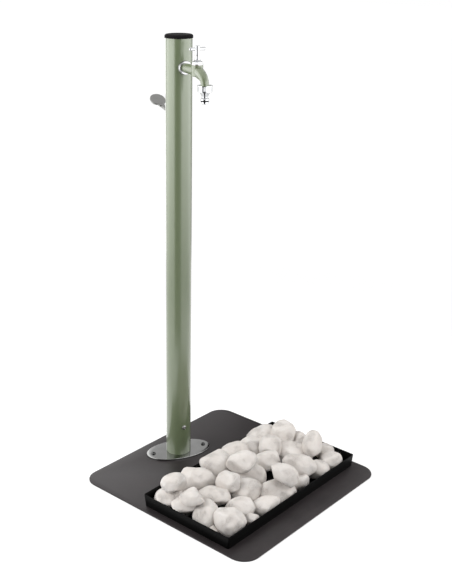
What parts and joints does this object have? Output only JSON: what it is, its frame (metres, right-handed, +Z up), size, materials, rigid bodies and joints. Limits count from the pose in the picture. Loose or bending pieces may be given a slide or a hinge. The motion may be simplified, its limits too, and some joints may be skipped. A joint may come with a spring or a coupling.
{
  "type": "garden standpipe",
  "caption": "Round column with a screw-down garden tap, hose connector and hose hook, bolted to a flat base plate with a tray of white pebbles.",
  "frame": {"origin": "centre of the base plate's underside", "axes": "+Z up along the column, X along the tray, -Y from the column to the tray"},
  "size_m": [0.5, 0.5397, 1.027],
  "materials": {
    "column_paint": "sage green powder coat, satin",
    "plate_coating": "dark grey fine texture",
    "tray_coating": "black powder coat, satin",
    "cap_plastic": "black moulded plastic",
    "white_stone": "tumbled white marble, rough and pitted",
    "flange_steel": "polished stainless",
    "hook_steel": "satin stainless",
    "chrome_plate": "bright plated brass",
    "tap_paint": "sage green enamel over cast brass, satin",
    "inner_brass": "plain turned",
    "screw_steel": "stainless",
    "riser_copper": "plain drawn copper pipe",
    "insert_steel": "zinc plated",
    "seal_rubber": "plain",
    "seal_fibre": "pale pressed fibre"
  },
  "bodies": {
    "root": {"base_plate": "plate_coating", "plate_inserts": "insert_steel", "pebble_tray": "tray_coating", "pebbles": "white_stone", "column_flange": "flange_steel", "flange_screws": "screw_steel", "column_tube": "column_paint", "column_screw": "screw_steel", "column_cap": "cap_plastic", "inlet_adapter": "inner_brass", "riser_pipe": "riser_copper", "riser_nuts": "inner_brass", "riser_olives": "inner_brass", "tap_elbow": "inner_brass", "tail_washer": "seal_fibre", "tap_rosette": "chrome_plate", "tap_body": "tap_paint", "bonnet_washer": "seal_fibre", "tap_bonnet": "chrome_plate", "union_nut": "chrome_plate", "union_washer": "seal_rubber", "hose_nozzle": "chrome_plate", "nozzle_ring": "seal_rubber", "hook_stem": "hook_steel", "hook_plate": "hook_steel", "hook_nut": "screw_steel"},
    "valve": {"valve_jumper": "inner_brass", "seat_washer": "seal_rubber", "washer_nut": "inner_brass"},
    "spindle": {"tap_spindle": "inner_brass", "packing_ring": "seal_rubber", "tap_handle": "chrome_plate", "handle_screw": "chrome_plate"}
  },
  "joints": [
    {"name": "valve_rise", "type": "slide", "parent": "root", "child": "valve", "axis": [0, 0, 1], "range_m": [0, 0.004]},
    {"name": "handle_turn", "type": "hinge", "parent": "valve", "child": "spindle", "pos_m": [-0.02976, 0.09025, 0.99], "axis": [0, 0, 1], "range_deg": [0, 720]}
  ],
  "couplings": [
    {"joint": "handle_turn", "follows": "valve_rise", "rad_per_m": 3141.6}
  ]
}
